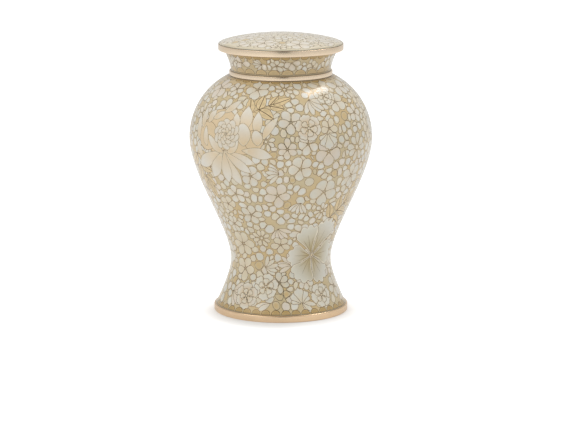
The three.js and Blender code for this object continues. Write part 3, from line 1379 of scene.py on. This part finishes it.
def body_cells(skin, rng):
    """All the cells of the body: small blossoms behind, then the large flowers, leaves and borders."""
    heroes = []
    for turn in (0, 180):
        heroes += leaf_sprig(skin, skin.spot(turn - 22, 203), -62, 10)
        heroes += leaf_sprig(skin, skin.spot(turn + 46, 98), -48, 10, 1.1)
        heroes += leaf_sprig(skin, skin.spot(turn - 66, 160), -160, 10, 1.2)
        heroes += leaf_sprig(skin, skin.spot(turn + 96, 160), 30, 10, 1.1)
        heroes += chrysanthemum(skin, skin.spot(turn - 36.5, 183.1), 20)
        heroes += ruffled_bloom(skin, skin.spot(turn + 18, 190.4), 13.5, 50, rng, PEACH)
        heroes += shell_bloom(skin, skin.spot(turn + 31, 177.5), 14, 185, 54)
        heroes += ruffled_bloom(skin, skin.spot(turn + 36, 217), 10, 54, rng)
        heroes += ruffled_bloom(skin, skin.spot(turn + 84, 186), 14, 54, rng)
        heroes += shell_bloom(skin, skin.spot(turn + 19, 23), 14, 10, 60)
        heroes += ruffled_bloom(skin, skin.spot(turn + 44, 22), 12.5, 66, rng)
        heroes += ruffled_bloom(skin, skin.spot(turn - 16, 32), 13, 66, rng)
        heroes += ruffled_bloom(skin, skin.spot(turn - 36, 22), 13, 71, rng, PEACH)
        heroes += peony(skin, skin.spot(turn + 36, 60.9), 80)
        heroes += ruffled_bloom(skin, skin.spot(turn + 100, 62), 15, 80, rng)
    cells = scattered_blossoms(skin, 10.0, skin.height - 8.0, 13.0, 0, rng, heroes, PETAL_TINTS)
    cells += heroes
    cells += scallops(skin, 40, 0.5, 5.0, 160, False, BORDER_OCHRE)
    cells += scallops(skin, 32, skin.height - 0.5, 3.6, 160, True, BORDER_OCHRE)
    return cells


def neck_cells(skin, rng):
    """The neck's band of blossoms between its two borders. Their tints are brightened as painted light,
    against the shade that the lid casts on the neck.
    """
    # Painted light: the blossoms' tints made 12 per cent brighter to offset the lid's shade on the neck
    tints = tuple(1.12 * tint for tint in PETAL_TINTS)
    cells = scattered_blossoms(skin, 7.5, skin.height - 6.0, 9.0, 0, rng, (), tints)
    cells += scallops(skin, 36, skin.height - 0.4, 3.8, 60, True, BORDER_OCHRE)
    cells += scallops(skin, 24, 0.4, 5.4, 60, False, GROUND_OCHRE)
    return cells


def dome_cells(skin, rng):
    """Fine pale flowers all over the lid's dome."""
    return scattered_blossoms(skin, 0, skin.reach - 2.0, 12.0, 0, rng, (), (CREAM, PETAL_WHITE, PETAL_WHITE))


# Settings and operators


def colour_setting(name, description, default):
    return bpy.props.FloatVectorProperty(
        name=name, description=description, subtype="COLOR", size=3, min=0.0, max=1.0, default=default
    )


def share_setting(name, description, default):
    return bpy.props.FloatProperty(
        name=name, description=description, subtype="FACTOR", min=0.0, max=1.0, default=default
    )


class UrnFinishes(bpy.types.PropertyGroup):
    """Colours and gloss of the urn's finishes."""

    brass_colour: colour_setting("Brass", "Colour of the collar and the lid's rim", (0.88, 0.715, 0.525))
    foot_colour: colour_setting("Foot brass", "Colour of the foot", (0.82, 0.605, 0.395))
    wire_colour: colour_setting("Wire", "Colour of the cell wires", (0.185, 0.125, 0.07))
    brass_roughness: share_setting("Brass roughness", "How satin the brass is", 0.25)
    polish: share_setting("Polish", "Strength of the enamel's clear top gloss", 0.35)
    seed: bpy.props.IntProperty(
        name="Blossom seed", description="Changes how the small blossoms are strewn", min=0, default=7
    )


class UrnStudio(bpy.types.PropertyGroup):
    """Camera and light of the studio."""

    camera_distance: bpy.props.FloatProperty(
        name="Camera distance", description="Level distance from the urn's axis to the camera",
        unit="LENGTH", default=2.611,
    )
    camera_height: bpy.props.FloatProperty(
        name="Camera height", description="Height of the camera above the floor",
        unit="LENGTH", default=0.6026,
    )
    camera_pitch: bpy.props.FloatProperty(
        name="Camera pitch", description="How far the camera looks down", subtype="ANGLE",
        unit="ROTATION", default=math.radians(10.99),
    )
    camera_turn: bpy.props.FloatProperty(
        name="Camera turn", description="How far the camera looks to the right of the axis", subtype="ANGLE",
        unit="ROTATION", default=math.radians(0.035),
    )
    focal_length: bpy.props.FloatProperty(
        name="Focal length", description="Lens on a 36 mm wide sensor, in millimetres", default=174.96
    )
    light: bpy.props.FloatProperty(
        name="Light", description="Strength of every light together", min=0.0, default=1.0
    )


class URN_OT_body(bpy.types.Operator):
    """Build the enamelled body from its lip to its mouth"""

    bl_idname = "urn.body"
    bl_label = "Body"

    def execute(self, context):
        finishes = context.scene.urn_finishes
        rng = random.Random(finishes.seed)
        skin = TurnedSkin(joined(vessel_curves(120)), BODY_UNROLLED_AT)
        neck = TurnedSkin(neck_curve(120)[0], NECK_UNROLLED_AT)
        mesh = bmesh.new()
        layers = enamel_layers(mesh)
        seat = [SHOULDER_TOP, (NECK[0], SHOULDER_TOP[1]), NECK]
        add_wall(mesh, seat, layers, SEAT_WINDOW)
        add_wall(mesh, inner_outline(), layers, INNER_WINDOW)
        add_skin(mesh, skin, body_cells(skin, rng), BODY_SPACING, layers, BODY_WINDOW)
        add_skin(mesh, neck, neck_cells(neck, rng), FINE_SPACING, layers, NECK_WINDOW)

        def facing(points):
            above = points[:, 2:] >= SHOULDER_TOP[1] + 0.05
            return np.where(above, neck.facing(points), skin.facing(points))

        finished("enamelled_body", mesh, enamel_finishes(finishes), ("body",), facing)
        return {"FINISHED"}


def inner_outline():
    """The outline from the mouth down the inside of the body to its lip."""
    points, runs = neck_curve(6)
    neck_inside = moved_left(points, runs, WALL)[::-1]
    neck_inside[0] = (MOUTH[0] - WALL / math.cos(math.radians(MOUTH_SLOPE)), MOUTH[1])
    inside = [moved_left(points, runs, WALL) for points, runs in vessel_curves(8)]
    down = np.vstack([part[::-1] for part in inside[::-1]])
    down[-1] = (LIP[0] - WALL / math.cos(math.radians(LIP_SLOPE)), LIP[1])
    outline = [MOUTH, *map(tuple, neck_inside), (NECK[0] - WALL, SHOULDER_TOP[1] - WALL / 4)]
    for r, z in down:
        if math.hypot(r - outline[-1][0], z - outline[-1][1]) > 0.3 and z >= LIP[1]:
            outline.append((float(r), float(z)))
    return outline + [LIP]


class URN_OT_foot(bpy.types.Operator):
    """Turn the brass foot with its flat floor"""

    bl_idname = "urn.foot"
    bl_label = "Foot"

    def execute(self, context):
        band = FOOT_RADIUS - FOOT_BAND
        outline = (
            (0.0, 0.0), (FOOT_RADIUS, 0.0), (FOOT_RADIUS, FOOT_HEIGHT), (band, FOOT_HEIGHT),
            (band, FOOT_FLOOR), (0.0, FOOT_FLOOR),
        )
        rounds = (
            (FOOT_RADIUS, 0.0, 0.8, 4), (FOOT_RADIUS, FOOT_HEIGHT, 1.3, 6), (band, FOOT_HEIGHT, 0.3, 2),
        )
        finishes = context.scene.urn_finishes
        brass_piece("brass_foot", outline, rounds, ("foot",), finishes, "foot_brass", finishes.foot_colour)
        return {"FINISHED"}


class URN_OT_collar(bpy.types.Operator):
    """Turn the brass ring round the root of the neck"""

    bl_idname = "urn.collar"
    bl_label = "Collar ring"

    def execute(self, context):
        low = SHOULDER_TOP[1] + JOINT_GAP
        high = low + COLLAR_HEIGHT
        inner = NECK[0] + JOINT_GAP
        outline = ((inner, low), (COLLAR_RADIUS, low), (COLLAR_RADIUS, high), (inner, high))
        rounds = ((COLLAR_RADIUS, low, 0.5, 4), (COLLAR_RADIUS, high, 0.5, 4))
        finishes = context.scene.urn_finishes
        brass_piece(
            "brass_collar", outline, rounds, ("collar_ring",), finishes, "rim_brass", finishes.brass_colour
        )
        return {"FINISHED"}


class URN_OT_lid(bpy.types.Operator):
    """Turn the lid's brass rim and build its enamelled dome"""

    bl_idname = "urn.lid"
    bl_label = "Lid"

    def execute(self, context):
        finishes = context.scene.urn_finishes
        low = MOUTH[1] + JOINT_GAP
        top = low + RIM_BAND
        flange = low + RIM_FLANGE
        spigot_inner = SPIGOT_RADIUS - WALL
        outline = (
            (spigot_inner, low - SPIGOT_DEPTH), (SPIGOT_RADIUS, low - SPIGOT_DEPTH), (SPIGOT_RADIUS, low),
            (RIM_RADIUS, low), (RIM_RADIUS, top), (RIM_RADIUS - RIM_BAND_WIDTH, top),
            (RIM_RADIUS - RIM_BAND_WIDTH, flange), (spigot_inner, flange),
        )
        rounds = (
            (RIM_RADIUS, low, 0.6, 4), (RIM_RADIUS, top, 0.6, 5),
            (SPIGOT_RADIUS, low - SPIGOT_DEPTH, 0.3, 2),
        )
        brass_piece(
            "brass_lid_rim", outline, rounds, ("lid_rim",), finishes, "rim_brass", finishes.brass_colour
        )
        rng = random.Random(finishes.seed + 1)
        skin = DomeSkin(dome_curve(160)[0][::-1])
        mesh = bmesh.new()
        layers = enamel_layers(mesh)
        add_wall(mesh, dome_inside(), layers, HOLLOW_WINDOW)
        add_skin(mesh, skin, dome_cells(skin, rng), FINE_SPACING, layers, DOME_WINDOW, pale=0.8)
        finished("enamelled_dome", mesh, enamel_finishes(finishes), ("lid_dome",), skin.facing)
        return {"FINISHED"}


def dome_inside():
    """The outline from the dome's edge across its level base and up its hollow underside to the axis."""
    points, runs = dome_curve(24)
    inside = moved_left(points, runs, WALL)
    above = inside[inside[:, 1] > DOME_BASE]
    below = inside[len(inside) - len(above) - 1]
    share = (DOME_BASE - below[1]) / (above[0][1] - below[1])
    crossing = below + (above[0] - below) * share
    outline = [(DOME_RADIUS, DOME_BASE), tuple(map(float, crossing))]
    outline += [tuple(map(float, p)) for p in above[:-1]]
    return outline + [(0.0, float(above[-1][1]))]


class URN_OT_studio(bpy.types.Operator):
    """Set up the pale floor, the soft lights and the camera"""

    bl_idname = "urn.studio"
    bl_label = "Studio"

    def execute(self, context):
        studio = context.scene.urn_studio
        floor = studio_floor()
        dark_card()
        studio_lights(studio.light)
        studio_world(studio.light)
        data = bpy.data.cameras.new("photo_camera")
        data.sensor_width = 36.0
        data.lens = studio.focal_length
        data.clip_start = 0.05
        data.clip_end = 60.0
        camera = bpy.data.objects.new("photo_camera", data)
        camera.location = (0.0, -studio.camera_distance, studio.camera_height)
        camera.rotation_euler = (math.pi / 2 - studio.camera_pitch, 0.0, -studio.camera_turn)
        context.scene.collection.objects.link(camera)
        context.scene.camera = camera
        context.scene.view_settings.view_transform = "Standard"
        return {"FINISHED"}


# Reach of the floor to each side, and the middle of the painted contact shadow on it. From that middle
# # the floor's glow, painted light seen by the camera only, rises from none to full between two distances,
# # so that the floor is left darker round the urn's foot, most in front, as a painted contact shadow.
# # Last come the strengths of the glow and of the room's light
FLOOR_REACH = 12.0
PAINTED_SHADOW_MIDDLE = (0.0, -0.018, 0.0)
GLOW_FROM = 0.054
GLOW_TO = 0.088
FLOOR_GLOW = 0.42
ROOM_LIGHT = 0.695


def studio_floor():
    """A wide white floor. It glows as painted light, for the camera only, except round the urn's foot,
    where its real shadow is deepened by the missing glow into a painted contact shadow, furthest in front.
    """
    mesh = bmesh.new()
    bmesh.ops.create_grid(mesh, x_segments=2, y_segments=2, size=FLOOR_REACH)
    material, tree, shader = new_material("floor_paper")
    paper = noise_node(tree, (-600, 0), {"Scale": 40.0})
    tone = range_node(tree, (-400, 0), paper, {"To Min": 0.94, "To Max": 0.96})
    place = new_node(tree, "ShaderNodeTexCoord", (-1000, -300))
    from_middle = new_node(
        tree, "ShaderNodeVectorMath", (-900, -300), {"operation": "SUBTRACT"}, {1: PAINTED_SHADOW_MIDDLE},
        {0: place.outputs["Object"]},
    )
    away = new_node(
        tree, "ShaderNodeVectorMath", (-750, -300), {"operation": "LENGTH"}, {}, {0: from_middle.outputs[0]}
    ).outputs["Value"]
    limits = {"From Min": GLOW_FROM, "From Max": GLOW_TO}
    # Painted shadow: no glow close to the foot, full glow further out
    glow = range_node(tree, (-600, -300), away, limits, "SMOOTHSTEP")
    path = new_node(tree, "ShaderNodeLightPath", (-600, -560))
    seen = math_node(tree, (-400, -400), "MULTIPLY", glow, path.outputs["Is Camera Ray"])
    link(shader, {"Base Color": tone, "Emission Color": seen})
    set_inputs(shader, {"Emission Strength": FLOOR_GLOW, "Roughness": 0.9, "Specular IOR Level": 0.1})
    return linked_object("floor", mesh, (material,))


def area_light(name, place, aim, width, height, power, roll=0.0):
    """A soft rectangular light that faces a point, rolled by so many degrees and unseen by the camera."""
    data = bpy.data.lights.new(name, "AREA")
    data.shape = "RECTANGLE"
    data.size = width
    data.size_y = height
    data.energy = power
    light = bpy.data.objects.new(name, data)
    light.location = place
    light.rotation_mode = "QUATERNION"
    facing = (Vector(aim) - Vector(place)).to_track_quat("-Z", "Y")
    light.rotation_quaternion = facing @ Quaternion((0.0, 0.0, 1.0), math.radians(roll))
    light.visible_camera = False
    bpy.context.scene.collection.objects.link(light)
    return light


def studio_lights(strength):
    """Soft lights on either side, one high at the back right for the shoulder's gloss, and two fills."""
    middle = (0.0, 0.0, 0.14)
    area_light("left_softbox", (-1.5, -1.0, 1.6), middle, 1.5, 1.2, 6.5 * strength)
    area_light("right_softbox", (1.7, -0.8, 1.1), middle, 1.5, 1.2, 1.8 * strength)
    area_light("shoulder_light", (0.66, 0.4, 1.51), (0.03, -0.05, 0.22), 0.95, 0.2, 4.6 * strength, -54)
    front = area_light("front_fill", (-0.35, -2.3, 0.35), middle, 1.2, 0.5, 3.5 * strength)
    top = area_light("top_fill", (-0.3, -0.4, 2.0), middle, 1.4, 1.4, 10 * strength)
    for fill in (front, top):
        fill.visible_glossy = False


# Half sizes and middle of the dark card
CARD_HALVES = (0.65, 1.8, 1.0)
CARD_MIDDLE = (0.25, -3.1, 1.9)


def dark_card():
    """A tall dark card behind the camera, which the polished wires facing it reflect."""
    mesh = bmesh.new()
    bmesh.ops.create_grid(mesh, x_segments=1, y_segments=1, size=1.0)
    bmesh.ops.scale(mesh, vec=CARD_HALVES, verts=mesh.verts)
    bmesh.ops.rotate(mesh, cent=(0, 0, 0), matrix=Matrix.Rotation(math.pi / 2, 3, "X"), verts=mesh.verts)
    bmesh.ops.translate(mesh, vec=CARD_MIDDLE, verts=mesh.verts)
    material, tree, shader = new_material("dark_cloth")
    weave = noise_node(tree, (-600, 0), {"Scale": 200.0})
    tone = range_node(tree, (-400, 0), weave, {"To Min": 0.008, "To Max": 0.014})
    link(shader, {"Base Color": tone})
    set_inputs(shader, {"Roughness": 1.0, "Specular IOR Level": 0.0})
    card = linked_object("dark_card", mesh, (material,))
    card.visible_camera = False
    return card


def studio_world(strength):
    """A white room, which lights the urn less strongly than its walls look."""
    world = bpy.data.worlds.new("studio_world")
    world.use_nodes = True
    tree = world.node_tree
    background = tree.nodes["Background"]
    camera_ray = new_node(tree, "ShaderNodeLightPath", (-600, 0)).outputs["Is Camera Ray"]
    level = range_node(tree, (-400, 0), camera_ray, {"To Min": ROOM_LIGHT * strength, "To Max": 1.0})
    set_inputs(background, {"Color": (1.0, 1.0, 1.0, 1.0)})
    link(background, {"Strength": level})
    bpy.context.scene.world = world


class URN_PT_sidebar(bpy.types.Panel):
    """Lists the urn's pieces and its studio"""

    bl_idname = "URN_PT_sidebar"
    bl_label = "Urn"
    bl_space_type = "VIEW_3D"
    bl_region_type = "UI"
    bl_category = "Urn"

    def draw(self, context):
        layout = self.layout
        finishes = context.scene.urn_finishes
        for name in ("brass_colour", "foot_colour", "wire_colour", "brass_roughness", "polish", "seed"):
            layout.prop(finishes, name)
        studio = context.scene.urn_studio
        for name in ("camera_distance", "camera_height", "camera_pitch", "camera_turn", "focal_length"):
            layout.prop(studio, name)
        layout.prop(studio, "light")
        for operator in OPERATORS:
            layout.operator(operator.bl_idname)


OPERATORS = (URN_OT_studio, URN_OT_foot, URN_OT_body, URN_OT_collar, URN_OT_lid)
CLASSES = (UrnFinishes, UrnStudio, *OPERATORS, URN_PT_sidebar)


def register():
    for each in CLASSES:
        bpy.utils.register_class(each)
    bpy.types.Scene.urn_finishes = bpy.props.PointerProperty(type=UrnFinishes)
    bpy.types.Scene.urn_studio = bpy.props.PointerProperty(type=UrnStudio)


def unregister():
    del bpy.types.Scene.urn_studio
    del bpy.types.Scene.urn_finishes
    for each in reversed(CLASSES):
        bpy.utils.unregister_class(each)


def main():
    register()
    bpy.ops.urn.studio()
    bpy.ops.urn.foot()
    bpy.ops.urn.body()
    bpy.ops.urn.collar()
    bpy.ops.urn.lid()


if __name__ == "__main__":
    main()
